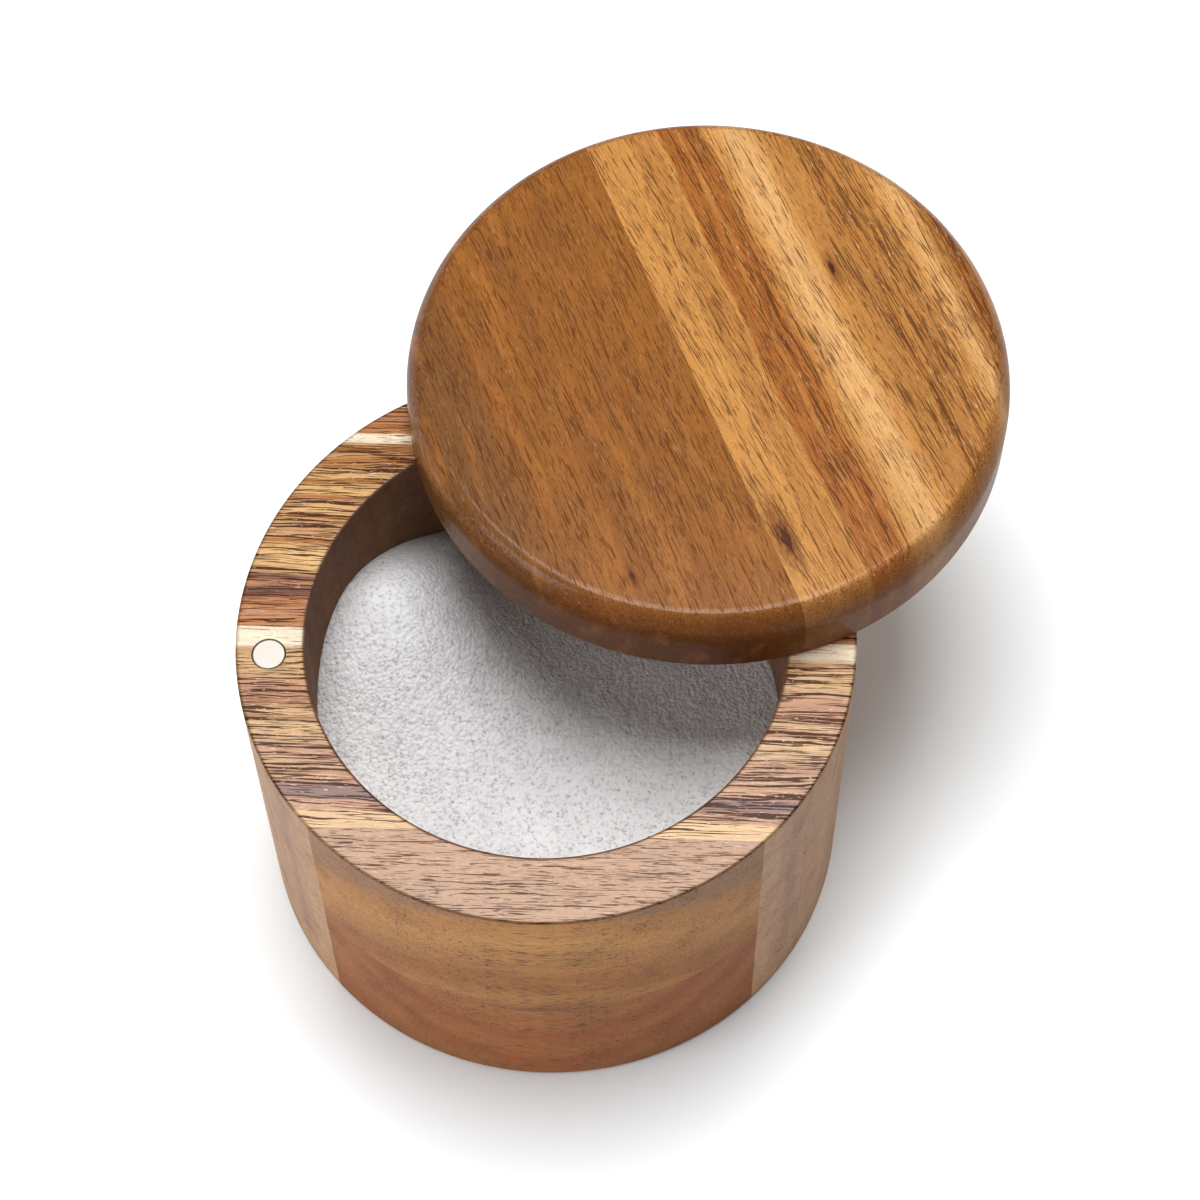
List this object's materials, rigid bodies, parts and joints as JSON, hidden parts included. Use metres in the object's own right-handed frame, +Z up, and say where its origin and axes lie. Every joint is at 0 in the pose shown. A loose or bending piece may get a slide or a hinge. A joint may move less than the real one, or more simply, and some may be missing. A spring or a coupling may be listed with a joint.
{
  "type": "salt box with swivel lid",
  "caption": "Round wooden salt box glued up from boards, with a flat round lid that swivels on a vertical pin and is held shut by magnets, standing part open over salt.",
  "frame": {"origin": "centre of the round body's underside, on the plane that the box stands on", "axes": "+Z is up and is the direction of the lid's pivot pin, +X points from the body's centre to the pivot pin, and the body's magnet is on -X. At rest the lid stands 70.4 degrees open, turned clockwise seen from above."},
  "size_m": [0.1152, 0.1262, 0.071],
  "materials": {
    "body_front_wood": "satin",
    "body_mid_front_wood": "satin",
    "body_mid_rear_wood": "satin",
    "body_rear_wood": "satin",
    "magnet_nickel": "satin",
    "salt_grains": "matte",
    "lid_front_wood": "satin",
    "lid_rear_wood": "satin",
    "pin_steel": "satin"
  },
  "bodies": {
    "body": {"body_front_board": "body_front_wood", "body_mid_front_board": "body_mid_front_wood", "body_mid_rear_board": "body_mid_rear_wood", "body_rear_board": "body_rear_wood", "body_magnet": "magnet_nickel", "salt": "salt_grains"},
    "lid": {"lid_front_board": "lid_front_wood", "lid_rear_board": "lid_rear_wood", "lid_magnet": "magnet_nickel", "pivot_pin": "pin_steel"}
  },
  "joints": [
    {"name": "lid_swing", "type": "hinge", "parent": "body", "child": "lid", "pos_m": [0.0397, 0, 0.0598], "axis": [0, 0, 1], "range_deg": [-109.6, 70.4]}
  ]
}
